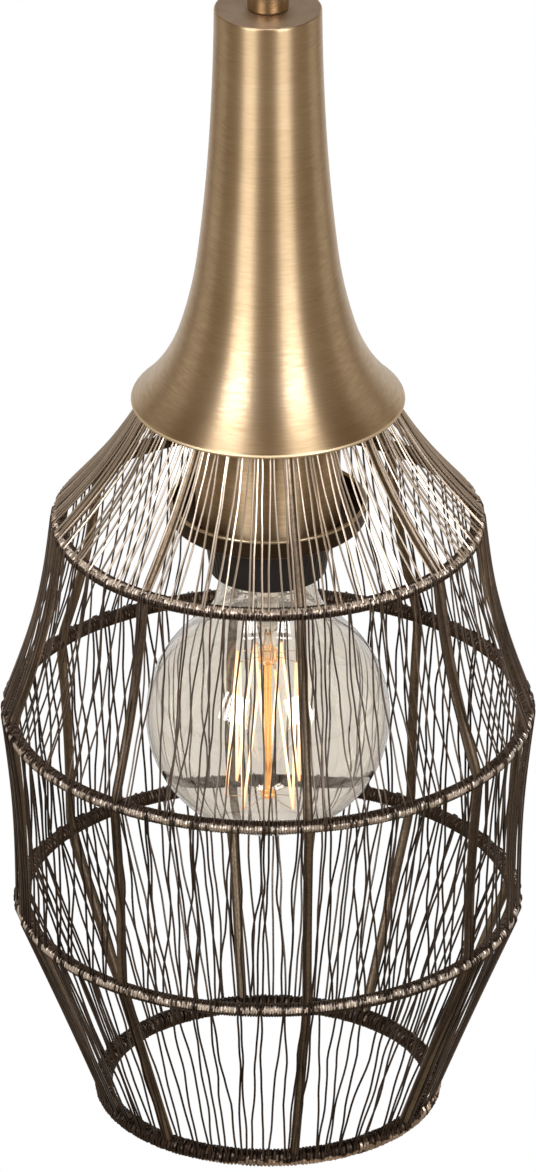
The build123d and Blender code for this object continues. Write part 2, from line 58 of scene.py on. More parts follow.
# Rolled edges: radius and level of the middle of the roll, and the roll's own radius
CAP_LIP = (52.1, -183.1, 0.75)
DISH_BEAD = (37.5, -226.75, 0.75)

# Levels, in metres, where another material takes over on the cap and the dish
NECK_TOP = -18.5 * MM
LIP_START = -182.35 * MM
BEAD_FOOT = -227.2 * MM

# Filament: number of turning points, angle of the first, angle between them, and the
# (radius, level) of those at the top and those at the bottom
FILAMENT_POINTS, FILAMENT_START, FILAMENT_STEP = 15, 12, 24
FILAMENT_HEAD, FILAMENT_FOOT = (12.5, -294.0), (16.5, -354.5)

# Cage rings from the top: radius, level and half thickness of the bound bar
RINGS = {
    "collar_ring": (43.69, -180.0, 2.0),
    "shoulder_ring": (81.0, -236.0, 2.9),
    "belly_ring": (100.5, -317.5, 2.9),
    "hip_ring": (96.0, -399.0, 2.9),
    "mouth_ring": (64.5, -480.5, 3.7),
}

# Rods: number, angle of the first, radius, and how far each stretch draws in
RODS = 8
CAGE_TURN = 9.0
ROD_RADIUS = 1.85
ROD_DIPS = [2.8, 2.8, 1.2, 0.0]

# Lacing: runs in a tier, sides of its wire and of the rings' binding, and the hook of a
# run over the upper ring, as degrees above the ring's outermost side and distance off it
LACES = 144
WIRE_SIDES = 5
HOOK = [(18, 0.2), (34, 0.2), (50, 0.1), (62, -0.9)]


# Node helpers
def plug(tree, socket, value):
    """Links an output to a socket, or sets the socket's own value."""
    if isinstance(value, bpy.types.NodeSocket):
        tree.links.new(value, socket)
    elif value is not None:
        socket.default_value = value


def fill(tree, made, inputs):
    """Plugs values and outputs into a node's inputs by name or number."""
    for key, value in inputs.items():
        plug(tree, made.inputs[key], value)
    return made


def add(tree, kind, settings, inputs):
    """Adds a node with its settings and its inputs."""
    made = tree.nodes.new(kind)
    for key, value in settings.items():
        setattr(made, key, value)
    return fill(tree, made, inputs)


def maths(tree, operation, first, second=None):
    """Output of a Math node."""
    return add(tree, "ShaderNodeMath", {"operation": operation}, {0: first, 1: second}).outputs[0]


def plus(tree, first, second):
    """First plus second."""
    return maths(tree, "ADD", first, second)


def minus(tree, first, second):
    """First less second."""
    return maths(tree, "SUBTRACT", first, second)


def times(tree, first, second):
    """First times second."""
    return maths(tree, "MULTIPLY", first, second)


def weighed(tree, *parts):
    """Sum of outputs, each times its weight."""
    total = None
    for output, weight in parts:
        part = times(tree, output, weight)
        total = part if total is None else plus(tree, total, part)
    return total


def vector(tree, x, y, z):
    """Output of a Combine XYZ node."""
    return add(tree, "ShaderNodeCombineXYZ", {}, {0: x, 1: y, 2: z}).outputs[0]


def parted(tree, place):
    """X, Y and Z outputs of a vector."""
    return add(tree, "ShaderNodeSeparateXYZ", {}, {0: place}).outputs


def object_place(tree):
    """Object coordinates in a shader tree."""
    return add(tree, "ShaderNodeTexCoord", {}, {}).outputs["Object"]


def noise(tree, where, scale, detail):
    """Value output of a Noise Texture node."""
    inputs = {"Vector": where, "Scale": scale, "Detail": detail}
    return add(tree, "ShaderNodeTexNoise", {}, inputs).outputs["Fac"]


def spread(tree, value, low, high, start=0.0, end=1.0):
    """Value mapped from low..high to start..end, held at both ends."""
    inputs = {"Value": value, 1: low, 2: high, 3: start, 4: end}
    return add(tree, "ShaderNodeMapRange", {}, inputs).outputs[0]


def blended(tree, share, first, second):
    """Colour between two colours."""
    inputs = {0: share, 6: first, 7: second}
    return add(tree, "ShaderNodeMix", {"data_type": "RGBA"}, inputs).outputs[2]


# Shared shader groups
def group_tree(name, inputs, outputs):
    """Shader node group of values, with its input node and its output node."""
    tree = bpy.data.node_groups.new(name, "ShaderNodeTree")
    for label, default in inputs.items():
        socket = tree.interface.new_socket(label, in_out="INPUT", socket_type="NodeSocketFloat")
        socket.default_value = default
    for label in outputs:
        tree.interface.new_socket(label, in_out="OUTPUT", socket_type="NodeSocketFloat")
    return tree, tree.nodes.new("NodeGroupInput"), tree.nodes.new("NodeGroupOutput")


def brushing_group():
    """Fine lines and broad bands round the lamp's axis, as spinning and brushing leave them."""
    tree, given, out = group_tree("brushing", {"Along": 1200.0}, ["Lines", "Bands"])
    x, y, z = parted(tree, object_place(tree))
    radius = maths(tree, "SQRT", plus(tree, times(tree, x, x), times(tree, y, y)))
    # The radius counts too, so that flat faces have lines as well
    down = minus(tree, z, times(tree, radius, 0.8))

    def ringed(around, along, detail):
        place = vector(tree, times(tree, x, around), times(tree, y, around), times(tree, down, along))
        return noise(tree, place, 1.0, detail)

    fine = ringed(around=170.0, along=given.outputs["Along"], detail=3.0)
    broad = ringed(around=12.0, along=160.0, detail=2.0)
    fill(tree, out, {
        "Lines": spread(tree, fine, 0.3, 0.7),
        "Bands": spread(tree, broad, 0.35, 0.65),
    })
    return tree


def tarnish_group():
    """Mottled tarnish: broad patches and fine specks, as masks."""
    tree, given, out = group_tree("tarnish", {"Patches": 30.0, "Specks": 900.0}, ["Patch", "Speck"])
    place = object_place(tree)
    patch = noise(tree, place, given.outputs["Patches"], 4.0)
    speck = noise(tree, place, given.outputs["Specks"], 2.0)
    fill(tree, out, {
        "Patch": spread(tree, patch, 0.38, 0.66),
        "Speck": spread(tree, speck, 0.42, 0.7),
    })
    return tree


BRUSHING = brushing_group()
TARNISH = tarnish_group()


def use(tree, group, inputs):
    """Outputs of a shared group in a material."""
    made = tree.nodes.new("ShaderNodeGroup")
    made.node_tree = group
    return fill(tree, made, inputs).outputs


# Materials
def material(name):
    """New material with its tree and its Principled node."""
    made = bpy.data.materials.new(name)
    made.use_nodes = True
    return made, made.node_tree, made.node_tree.nodes["Principled BSDF"]


def bump(tree, height, strength, distance):
    """Normal from a height, its distance in metres."""
    inputs = {"Height": height, "Strength": strength, "Distance": distance}
    return add(tree, "ShaderNodeBump", {}, inputs).outputs[0]


def spun_metal(name, light, dark, rough, stretch, lines, lacquer=0.0):
    """Metal brushed round the lamp's axis, whose highlights stretch up and down."""
    made, tree, shader = material(name)
    brushed = use(tree, BRUSHING, {"Along": lines})
    stained = use(tree, TARNISH, {"Patches": 22.0})
    share = weighed(tree, (brushed["Lines"], 0.3), (brushed["Bands"], 0.1), (stained["Patch"], 0.3))
    tangent = add(tree, "ShaderNodeTangent", {"direction_type": "RADIAL", "axis": "Z"}, {})
    fill(tree, shader, {
        "Base Color": blended(tree, share, light, dark),
        "Roughness": spread(tree, brushed["Lines"], 0, 1, rough - 0.05, rough + 0.06),
        "Normal": bump(tree, brushed["Lines"], strength=0.16, distance=0.00005),
        "Metallic": 1.0,
        "Coat Weight": lacquer,
        "Coat Roughness": 0.3,
        "Anisotropic": stretch,
        "Anisotropic Rotation": 0.25,
        "Tangent": tangent.outputs[0],
    })
    return made


def plated_metal(name, light, dark, rough, patches, specks, grain=0.15):
    """Plated metal, mottled between a light and a dark tone."""
    made, tree, shader = material(name)
    stained = use(tree, TARNISH, {"Patches": patches, "Specks": specks})
    share = weighed(tree, (stained["Patch"], 0.6), (stained["Speck"], 0.4))
    fill(tree, shader, {
        "Base Color": blended(tree, share, light, dark),
        "Roughness": spread(tree, share, 0, 1, rough - 0.06, rough + 0.1),
        "Normal": bump(tree, stained["Speck"], strength=grain, distance=0.00006),
        "Metallic": 1.0,
    })
    return made


def binding_with_painted_crest_light(name, pale, dark, rough, patches, wear, edge):
    """Binding wire with a painted highlight pale along the crest of its ring, painted shade dark past an
    edge, and dark tarnish in patches.
    """
    made, tree, shader = material(name)
    stained = use(tree, TARNISH, {"Patches": patches, "Specks": 200.0})
    crest = add(tree, "ShaderNodeAttribute", {"attribute_name": "crest"}, {}).outputs["Fac"]
    # Painted shade: dark where the wire turns away from the crest, off the lit side of the bar
    painted_shade = spread(tree, crest, edge, edge + 0.12, 1.0, 0.0)
    share = maths(tree, "MAXIMUM", times(tree, stained["Patch"], wear), painted_shade)
    fill(tree, shader, {
        "Base Color": blended(tree, share, pale, dark),
        "Roughness": spread(tree, stained["Speck"], 0, 1, rough, rough + 0.08),
        "Metallic": 1.0,
    })
    return made


def moulding(name, light, dark, rough, specks):
    """Moulded or glazed solid with a faint grain in its gloss."""
    made, tree, shader = material(name)
    stained = use(tree, TARNISH, {"Patches": 60.0, "Specks": specks})
    fill(tree, shader, {
        "Base Color": blended(tree, stained["Patch"], light, dark),
        "Roughness": spread(tree, stained["Speck"], 0, 1, rough, rough + 0.08),
        "Normal": bump(tree, stained["Speck"], strength=0.08, distance=0.00005),
    })
    return made


def clear_glass(name, tint):
    """Clear blown glass, very slightly uneven."""
    made, tree, shader = material(name)
    stained = use(tree, TARNISH, {"Patches": 26.0})
    fill(tree, shader, {
        "Base Color": blended(tree, stained["Patch"], tint, [c * 0.985 for c in tint]),
        "Roughness": spread(tree, stained["Speck"], 0, 1, 0.0, 0.01),
        "Transmission Weight": 1.0,
        "IOR": GLASS_IOR,
        "Coat Weight": 0.7,
    })
    return made


def glowing_wire(name, middle, ends, strength):
    """Filament that glows, whitest halfway up, deeper in colour at its bends and its sides."""
    made, tree, shader = material(name)
    halfway = -0.3235
    level = parted(tree, object_place(tree))[2]
    off = maths(tree, "ABSOLUTE", minus(tree, level, halfway))
    bends = spread(tree, off, 0.012, 0.032, 0.0, 0.55)
    facing = add(tree, "ShaderNodeLayerWeight", {}, {"Blend": 0.35}).outputs["Facing"]
    sides = spread(tree, facing, 0.15, 0.8)
    share = maths(tree, "MINIMUM", plus(tree, bends, sides), 1.0)
    fill(tree, shader, {
        "Emission Color": blended(tree, share, middle, ends),
        "Emission Strength": strength,
        "Base Color": (0.35, 0.16, 0.06, 1),
        "Roughness": 0.5,
    })
    return made


def stem_glass_with_painted_glow(name):
    """Glass of the bulb's stem, with an amber glow painted in below its button and painted glints on its
    flared foot, standing for the filament's light.
    """
    made, tree, shader = material(name)
    level = parted(tree, object_place(tree))[2]
    mottle = use(tree, TARNISH, {"Patches": 420.0})["Patch"]
    # Painted glints: the filament's light on the flared foot, as emission in mottled spots
    foot = times(tree, mottle, spread(tree, level, -0.266, -0.261, 0.0, 0.9))
    # Painted glow: amber emission below the button, where the filament lights the stem
    painted_glow = maths(tree, "MAXIMUM", foot, spread(tree, level, -0.291, -0.297))
    fill(tree, shader, {
        "Base Color": blended(tree, painted_glow, (0.95, 0.9, 0.82, 1), (0.93, 0.6, 0.26, 1)),
        "Emission Color": blended(tree, painted_glow, (0, 0, 0, 1), (0.9, 0.36, 0.07, 1)),
        "Emission Strength": 0.3,
        "Roughness": 0.12,
        "Transmission Weight": 1.0,
        "IOR": GLASS_IOR,
    })
    return made


# Each metal has a light and a dark tone. Lines, patches and specks are noise scales.
BRUSHED_BRASS = spun_metal(
    "brushed brass", (0.81, 0.62, 0.40, 1), (0.5, 0.33, 0.165, 1),
    rough=0.42, stretch=0.9, lines=1200.0, lacquer=0.65,
)
GRIP_BRASS = spun_metal(
    "grip brass", (0.66, 0.47, 0.28, 1), (0.30, 0.20, 0.11, 1),
    rough=0.3, stretch=0.6, lines=1800.0,
)
# Top face of the neck: a rougher, unbrushed brass, its own finish, darkened in part as painted shade
NECK_BRASS = plated_metal(
    "neck brass", (0.46, 0.355, 0.26, 1), (0.32, 0.24, 0.165, 1),
    rough=0.5, patches=90.0, specks=1500.0,
)
# Rolled lip: a pale polished brass, partly its own finish, partly a painted highlight line
EDGE_BRASS = plated_metal(
    "edge brass", (0.98, 0.82, 0.58, 1), (0.86, 0.68, 0.44, 1),
    rough=0.48, patches=90.0, specks=1500.0, grain=0.0,
)
# Dish rim: pale bronze, partly a polished edge, partly a painted highlight line
RIM_BRONZE = plated_metal(
    "rim bronze", (0.86, 0.72, 0.5, 1), (0.5, 0.38, 0.25, 1),
    rough=0.36, patches=70.0, specks=1500.0, grain=0.0,
)
COVER_BRASS = spun_metal(
    "cover brass", (0.96, 0.73, 0.46, 1), (0.36, 0.22, 0.12, 1),
    rough=0.46, stretch=0.95, lines=1400.0,
)
DARK_BRONZE = spun_metal(
    "dark bronze", (0.11, 0.07, 0.042, 1), (0.05, 0.034, 0.023, 1),
    rough=0.42, stretch=0.5, lines=1500.0,
)
TURNED_BRASS = plated_metal(
    "turned brass", (0.72, 0.54, 0.31, 1), (0.45, 0.32, 0.17, 1),
    rough=0.3, patches=60.0, specks=1200.0,
)
# One bronze lacing wire in three copies: the dark one is its own tone, the half-lit and lit copies are
# lighter, painting the light the upper tiers catch
BRONZE_WIRE = plated_metal(
    "bronze wire", (0.17, 0.135, 0.115, 1), (0.04, 0.033, 0.03, 1),
    rough=0.32, patches=26.0, specks=160.0, grain=0.03,
)
WIRE_PAINTED_HALF_LIT = plated_metal(
    "bronze wire painted half lit", (0.29, 0.23, 0.195, 1), (0.07, 0.057, 0.05, 1),
    rough=0.36, patches=26.0, specks=150.0, grain=0.0,
)
WIRE_PAINTED_LIT = plated_metal(
    "bronze wire painted lit", (0.74, 0.635, 0.53, 1), (0.46, 0.38, 0.31, 1),
    rough=0.38, patches=26.0, specks=130.0, grain=0.0,
)
# Binding: the pale tone is a painted highlight along the crest, the dark tone painted shade past the edge
# and tarnish in patches
BINDING_WIRE = binding_with_painted_crest_light(
    "binding wire", (0.92, 0.825, 0.735, 1), (0.13, 0.095, 0.075, 1),
    rough=0.44, patches=34.0, wear=0.25, edge=0.8,
)
MOUTH_BINDING = binding_with_painted_crest_light(
    "mouth binding wire", (0.95, 0.78, 0.63, 1), (0.085, 0.061, 0.048, 1),
    rough=0.38, patches=60.0, wear=0.55, edge=0.8,
)
ROD_BRONZE = plated_metal(
    "rod bronze", (0.36, 0.28, 0.20, 1), (0.13, 0.10, 0.075, 1),
    rough=0.42, patches=20.0, specks=700.0,
)
ZINC = plated_metal(
    "zinc plate", (0.66, 0.66, 0.63, 1), (0.45, 0.45, 0.43, 1),
    rough=0.4, patches=50.0, specks=1500.0,
)
CAP_METAL = plated_metal(
    "bulb cap brass", (0.78, 0.66, 0.44, 1), (0.55, 0.44, 0.27, 1),
    rough=0.28, patches=60.0, specks=1500.0,
)
SOLDER = plated_metal(
    "solder", (0.75, 0.75, 0.73, 1), (0.5, 0.5, 0.49, 1),
    rough=0.45, patches=90.0, specks=1500.0,
)
# Hooks and leads in a warm pale metal: partly their own colour, partly the filament's glow painted on
HOOK_WIRE_PAINTED_GLOW = plated_metal(
    "hook wire with painted glow", (0.78, 0.6, 0.4, 1), (0.6, 0.42, 0.25, 1),
    rough=0.45, patches=60.0, specks=1500.0,
)
BLACK_MOULDING = moulding(
    "black moulding", (0.028, 0.024, 0.023, 1), (0.016, 0.014, 0.014, 1),
    rough=0.3, specks=1400.0,
)
PORCELAIN = moulding(
    "porcelain", (0.86, 0.84, 0.79, 1), (0.8, 0.77, 0.71, 1),
    rough=0.2, specks=900.0,
)
BLACK_GLASS = moulding(
    "black glass", (0.012, 0.012, 0.014, 1), (0.02, 0.02, 0.022, 1),
    rough=0.1, specks=900.0,
)
GLOBE_GLASS = clear_glass("globe glass", (0.878, 0.836, 0.774, 1))
STEM_GLASS = stem_glass_with_painted_glow("stem glass with painted glow")
FILAMENT_GLOW = glowing_wire(
    "filament glow", middle=(1.0, 0.86, 0.6, 1), ends=(0.62, 0.22, 0.04, 1), strength=2.4,
)


# Mesh helpers
def tangent_arc(start, end, direction, steps):
    """Points after start on the arc that leaves start along a direction and reaches end."""
    start, end, direction = Vector(start), Vector(end), Vector(direction).normalized()
    chord = end - start
    across = Vector((-direction.y, direction.x))
    centre = start + across * (chord.length_squared / (2 * chord.dot(across)))
    turn = 2 * math.atan2(direction.x * chord.y - direction.y * chord.x, direction.dot(chord))
    arm = start - centre
    points = []
    for i in range(1, steps + 1):
        share = turn * i / steps
        c, s = math.cos(share), math.sin(share)
        points.append((centre.x + arm.x * c - arm.y * s, centre.y + arm.x * s + arm.y * c))
    return points


def rounded(corners, steps=5):
    """Closed outline of (radius, level, rounding) corners."""
    points = []
    for i, (r, z, rounding) in enumerate(corners):
        corner = Vector((r, z))
        if not rounding:
            points.append((r, z))
            continue
        before = (Vector(corners[i - 1][:2]) - corner).normalized()
        after = (Vector(corners[(i + 1) % len(corners)][:2]) - corner).normalized()
        reach = rounding / math.tan(before.angle(after) / 2)
        start = corner + before * reach
        points += [tuple(start)] + tangent_arc(start, corner + after * reach, -before, steps)
    return points


def rolled(edge, angles):
    """Points round a rolled edge, at angles in degrees above its outermost side."""
    radius, level, roll = edge
    ways = [math.radians(angle) for angle in angles]
    return [(radius + roll * math.cos(way), level + roll * math.sin(way)) for way in ways]


def finish_mesh(name, mesh, body, surface, replaced):
    """Makes a piece of a mesh: smooth shading, material, body and CAD nodes.

    A mesh that a tree has made brings its material, and then the surface is None.
    """
    mesh.name = name
    piece = bpy.data.objects.new(name, mesh)
    bpy.context.scene.collection.objects.link(piece)
    mesh.shade_smooth()
    mesh.set_sharp_from_angle(angle=CREASE)
    if surface:
        mesh.materials.clear()
        mesh.materials.append(surface)
    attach(piece, body)
    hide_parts(*replaced)
    return piece


def repaint(piece, surface, chosen):
    """Gives a piece's faces another material where a test of the face is true."""
    piece.data.materials.append(surface)
    number = len(piece.data.materials) - 1
    for face in piece.data.polygons:
        if chosen(face):
            face.material_index = number


def lathed(name, outline, segments=160, twist=None):
    """Mesh of a closed (radius, level) outline turned round the axis.

    A twist function of (radius, level, angle) gives another radius, for ribs and threads.
    """
    rows, verts, faces = [], [], []
    for r, z in outline:
        if r < 1e-6:
            rows.append([len(verts)])
            verts.append((0, 0, z * MM))
            continue
        row = []
        for k in range(segments):
            angle = 2 * math.pi * k / segments
            reach = twist(r, z, angle) if twist else r
            row.append(len(verts))
            verts.append((reach * math.cos(angle) * MM, reach * math.sin(angle) * MM, z * MM))
        rows.append(row)
    for upper, lower in zip(rows, rows[1:] + rows[:1]):
        for k in range(segments):
            after = (k + 1) % segments
            if len(upper) > 1 and len(lower) > 1:
                faces.append((upper[k], lower[k], lower[after], upper[after]))
            elif len(upper) > 1:
                faces.append((upper[k], lower[0], upper[after]))
            elif len(lower) > 1:
                faces.append((upper[0], lower[k], lower[after]))
    mesh = bpy.data.meshes.new(name)
    mesh.from_pydata(verts, [], faces)
    if signed_volume(mesh) < 0:
        mesh.flip_normals()
    return mesh


def signed_volume(mesh):
    """Six times the volume in a closed mesh, below zero when its faces look inwards."""
    mesh.calc_loop_triangles()
    total = 0.0
    for triangle in mesh.loop_triangles:
        a, b, c = (mesh.vertices[i].co for i in triangle.vertices)
        total += a.dot(b.cross(c))
    return total


def geometry_tree(name, inputs):
    """Geometry Nodes tree with named inputs, its input node and its output node."""
    tree = bpy.data.node_groups.new(name, "GeometryNodeTree")
    tree.interface.new_socket("Geometry", in_out="INPUT", socket_type="NodeSocketGeometry")
    for label, kind in inputs.items():
        tree.interface.new_socket(label, in_out="INPUT", socket_type=kind)
    tree.interface.new_socket("Geometry", in_out="OUTPUT", socket_type="NodeSocketGeometry")
    return tree, tree.nodes.new("NodeGroupInput"), tree.nodes.new("NodeGroupOutput")


def grown(name, tree, paths, settings):
    """Mesh that a tree makes from paths of (x, y, z) points and its named inputs."""
    verts, edges = [], []
    for path in paths:
        edges += [(len(verts) + i, len(verts) + i + 1) for i in range(len(path) - 1)]
        verts += [tuple(c * MM for c in point) for point in path]
    seed = bpy.data.meshes.new(name + "_path")
    seed.from_pydata(verts, edges, [])
    carrier = bpy.data.objects.new(name + "_path", seed)
    bpy.context.scene.collection.objects.link(carrier)
    modifier = carrier.modifiers.new("grow", "NODES")
    modifier.node_group = tree
    for item in tree.interface.items_tree:
        if item.item_type == "SOCKET" and item.in_out == "INPUT" and item.name in settings:
            modifier[item.identifier] = settings[item.name]
    graph = bpy.context.evaluated_depsgraph_get()
    mesh = bpy.data.meshes.new_from_object(carrier.evaluated_get(graph))
    carrier.modifiers.remove(modifier)
    bpy.data.objects.remove(carrier)
    bpy.data.meshes.remove(seed)
    return mesh


def thickened(tree, curve, radius, sides, surface, caps):
    """Curve made into round wire, realized, with its material."""
    circle = add(tree, "GeometryNodeCurvePrimitiveCircle", {}, {"Resolution": sides, "Radius": radius})
    wire = add(tree, "GeometryNodeCurveToMesh", {}, {
        "Curve": curve,
        "Profile Curve": circle.outputs["Curve"],
        "Fill Caps": caps,
    })
    solid = add(tree, "GeometryNodeRealizeInstances", {}, {0: wire.outputs[0]})
    painted = add(tree, "GeometryNodeSetMaterial", {}, {"Geometry": solid.outputs[0], "Material": surface})
    return painted.outputs[0]


def round_wire_tree():
    """Round wire along each path."""
    tree, given, out = geometry_tree(
        "round wire",
        {"Radius": "NodeSocketFloat", "Sides": "NodeSocketInt", "Surface": "NodeSocketMaterial"},
    )
    asked = given.outputs
    curve = add(tree, "GeometryNodeMeshToCurve", {}, {0: asked["Geometry"]}).outputs[0]
    wire = thickened(tree, curve, asked["Radius"], asked["Sides"], asked["Surface"], caps=True)
    plug(tree, out.inputs[0], wire)
    return tree


def laced_tier_tree():
    """One tier of lacing: a wire's path repeated round the axis.

    Neighbouring runs draw together by turns at the upper and the lower ring, each run
    leans by its own amount, and each has a slight wave.
    """
    tree, given, out = geometry_tree(
        "laced tier",
        {
            "Wires": "NodeSocketInt",
            "Radius": "NodeSocketFloat",
            "Middle": "NodeSocketFloat",
            "Half Height": "NodeSocketFloat",
            "Pull": "NodeSocketFloat",
            "Lean": "NodeSocketFloat",
            "Wave": "NodeSocketFloat",
            "Seed": "NodeSocketInt",
            "Surface": "NodeSocketMaterial",
        },
    )
    asked = given.outputs
    own_share = 0.22
    points = add(tree, "GeometryNodePoints", {}, {"Count": asked["Wires"]})
    index = add(tree, "GeometryNodeInputIndex", {}, {}).outputs[0]
    copies = add(tree, "GeometryNodeInstanceOnPoints", {}, {
        "Points": points.outputs[0],
        "Instance": asked["Geometry"],
    })
    marked = add(tree, "GeometryNodeStoreNamedAttribute", {"data_type": "INT", "domain": "INSTANCE"}, {
        "Geometry": copies.outputs[0],
        "Name": "run",
        "Value": index,
    })
    solid = add(tree, "GeometryNodeRealizeInstances", {}, {0: marked.outputs[0]})
    run = add(tree, "GeometryNodeInputNamedAttribute", {"data_type": "INT"}, {"Name": "run"}).outputs[0]
    place = add(tree, "GeometryNodeInputPosition", {}, {}).outputs[0]
    level = parted(tree, place)[2]

    def random_for(identity, offset):
        return add(tree, "FunctionNodeRandomValue", {"data_type": "FLOAT"}, {
            "ID": identity,
            2: -1.0,
            3: 1.0,
            "Seed": plus(tree, asked["Seed"], offset),
        }).outputs[1]

    # From -1 at the lower ring to 1 at the upper, and the angle from run to run
    up = maths(tree, "DIVIDE", minus(tree, level, asked["Middle"]), asked["Half Height"])
    step = maths(tree, "DIVIDE", 2 * math.pi, asked["Wires"])

    side = minus(tree, 1.0, times(tree, maths(tree, "MODULO", run, 2.0), 2.0))
    pull = times(tree, times(tree, step, 0.5), asked["Pull"])
    zigzag = times(tree, times(tree, side, up), pull)

    # A run shares its upper loop with one neighbour and its lower loop with the other
    upper_pair = maths(tree, "FLOOR", times(tree, run, 0.5))
    lower_pair = maths(tree, "FLOOR", times(tree, plus(tree, run, 1.0), 0.5))
    near_top = times(tree, plus(tree, up, 1.0), 0.5)
    near_foot = times(tree, minus(tree, 1.0, up), 0.5)
    at_top = times(tree, random_for(upper_pair, 1.0), near_top)
    at_foot = times(tree, random_for(lower_pair, 2.0), near_foot)
    lean = times(tree, plus(tree, at_top, at_foot), times(tree, step, asked["Lean"]))
    own_lean = times(tree, random_for(run, 3.0), times(tree, step, own_share))

    spot = vector(tree, times(tree, run, 3.7), times(tree, up, 1.5), asked["Seed"])
    wander = minus(tree, noise(tree, spot, 1.0, 0.6), 0.5)
    fade = minus(tree, 1.0, maths(tree, "MINIMUM", times(tree, up, up), 1.0))
    wave = times(tree, wander, times(tree, fade, asked["Wave"]))

    turn = times(tree, plus(tree, run, 0.5), step)
    for part in (zigzag, lean, own_lean, wave):
        turn = plus(tree, turn, part)
    turned = add(tree, "ShaderNodeVectorRotate", {"rotation_type": "Z_AXIS"}, {
        "Vector": place,
        "Angle": turn,
    })
    moved = add(tree, "GeometryNodeSetPosition", {}, {
        "Geometry": solid.outputs[0],
        "Position": turned.outputs[0],
    })
    curve = add(tree, "GeometryNodeMeshToCurve", {}, {0: moved.outputs[0]}).outputs[0]
    wire = thickened(tree, curve, asked["Radius"], WIRE_SIDES, asked["Surface"], caps=True)
    plug(tree, out.inputs[0], wire)
    return tree


def bound_ring_tree():
    """Ring bar with fine wire wound round it, turn against turn, a little unevenly.

    The tree draws its own circles, so what it is grown from doesn't matter. Attribute
    "crest" says how far out and up on the bar the wire is, for its material.
    """
    tree, given, out = geometry_tree(
        "bound ring",
        {
            "Ring Radius": "NodeSocketFloat",
            "Level": "NodeSocketFloat",
            "Bar": "NodeSocketFloat",
            "Turns": "NodeSocketInt",
            "Binding": "NodeSocketFloat",
            "Unevenness": "NodeSocketFloat",
            "Slip": "NodeSocketFloat",
            "Seed": "NodeSocketFloat",
            "Surface": "NodeSocketMaterial",
            "Core": "NodeSocketMaterial",
        },
    )
    asked = given.outputs
    # crest_turn tilts the crest up towards the lights, where the binding's painted highlight sits
    points_in_turn, crest_turn, hoop_points, hoop_sides = 10.0, 0.4, 128, 12
    circle = add(tree, "GeometryNodeCurvePrimitiveCircle", {}, {
        "Resolution": times(tree, asked["Turns"], points_in_turn),
        "Radius": asked["Ring Radius"],
    })
    along = add(tree, "GeometryNodeSplineParameter", {}, {}).outputs["Factor"]
    angle = times(tree, along, 2 * math.pi)
    east, north = maths(tree, "COSINE", angle), maths(tree, "SINE", angle)

    def round_ring(scale, seed, detail):
        spot = vector(tree, times(tree, east, scale), times(tree, north, scale), seed)
        return noise(tree, spot, 1.0, detail)

    coarse = round_ring(scale=40.0, seed=asked["Seed"], detail=2.0)
    slip = times(tree, minus(tree, coarse, 0.5), asked["Slip"])
    wound = plus(tree, times(tree, angle, asked["Turns"]), slip)
    patchy = round_ring(scale=22.0, seed=plus(tree, asked["Seed"], 9.0), detail=3.0)
    swell = times(tree, minus(tree, patchy, 0.52), asked["Unevenness"])
    arm = minus(tree, asked["Bar"], asked["Binding"])
    arm = plus(tree, arm, maths(tree, "MINIMUM", swell, 0.0))
    out_to = plus(tree, asked["Ring Radius"], times(tree, arm, maths(tree, "COSINE", wound)))
    height = plus(tree, asked["Level"], times(tree, arm, maths(tree, "SINE", wound)))
    spot = vector(tree, times(tree, out_to, east), times(tree, out_to, north), height)
    coil = add(tree, "GeometryNodeSetPosition", {}, {"Geometry": circle.outputs[0], "Position": spot})
    # Crest: how far the wire faces out and up; the binding's material paints its highlight there and its
    # shade away from it
    worn = add(tree, "GeometryNodeStoreNamedAttribute", {"data_type": "FLOAT", "domain": "POINT"}, {
        "Geometry": coil.outputs[0],
        "Name": "crest",
        "Value": maths(tree, "COSINE", minus(tree, wound, crest_turn)),
    })
    binding = thickened(tree, worn.outputs[0], asked["Binding"], WIRE_SIDES, asked["Surface"], caps=False)

    # The bar itself, just under the binding where that sinks in
    hoop = add(tree, "GeometryNodeCurvePrimitiveCircle", {}, {
        "Resolution": hoop_points,
        "Radius": asked["Ring Radius"],
    })
    lifted = add(tree, "GeometryNodeSetPosition", {}, {
        "Geometry": hoop.outputs[0],
        "Offset": vector(tree, 0.0, 0.0, asked["Level"]),
    })
    thin = minus(tree, asked["Bar"], times(tree, asked["Binding"], 1.6))
    thin = minus(tree, thin, times(tree, asked["Unevenness"], 0.3))
    core = thickened(tree, lifted.outputs[0], thin, hoop_sides, asked["Core"], caps=False)
    joined = add(tree, "GeometryNodeJoinGeometry", {}, {})
    tree.links.new(binding, joined.inputs[0])
    tree.links.new(core, joined.inputs[0])
    plug(tree, out.inputs[0], joined.outputs[0])
    return tree


ROUND_WIRE = round_wire_tree()
LACED_TIER = laced_tier_tree()
BOUND_RING = bound_ring_tree()


# Brass cap, cover cup, dish and skirt
def trumpet_side(inset, steps):
    """Outline points down the trumpet's side, drawn in by an inset."""
    places = []
    for r, z, slope in TRUMPET:
        off = math.radians(slope)
        places.append((r - inset * math.cos(off), z - inset * math.sin(off)))
    points = [places[0]]
    for (r, z, slope), start, end in zip(TRUMPET, places, places[1:]):
        off = math.radians(slope)
        points += tangent_arc(start, end, (math.sin(off), -math.cos(off)), steps)
    return points


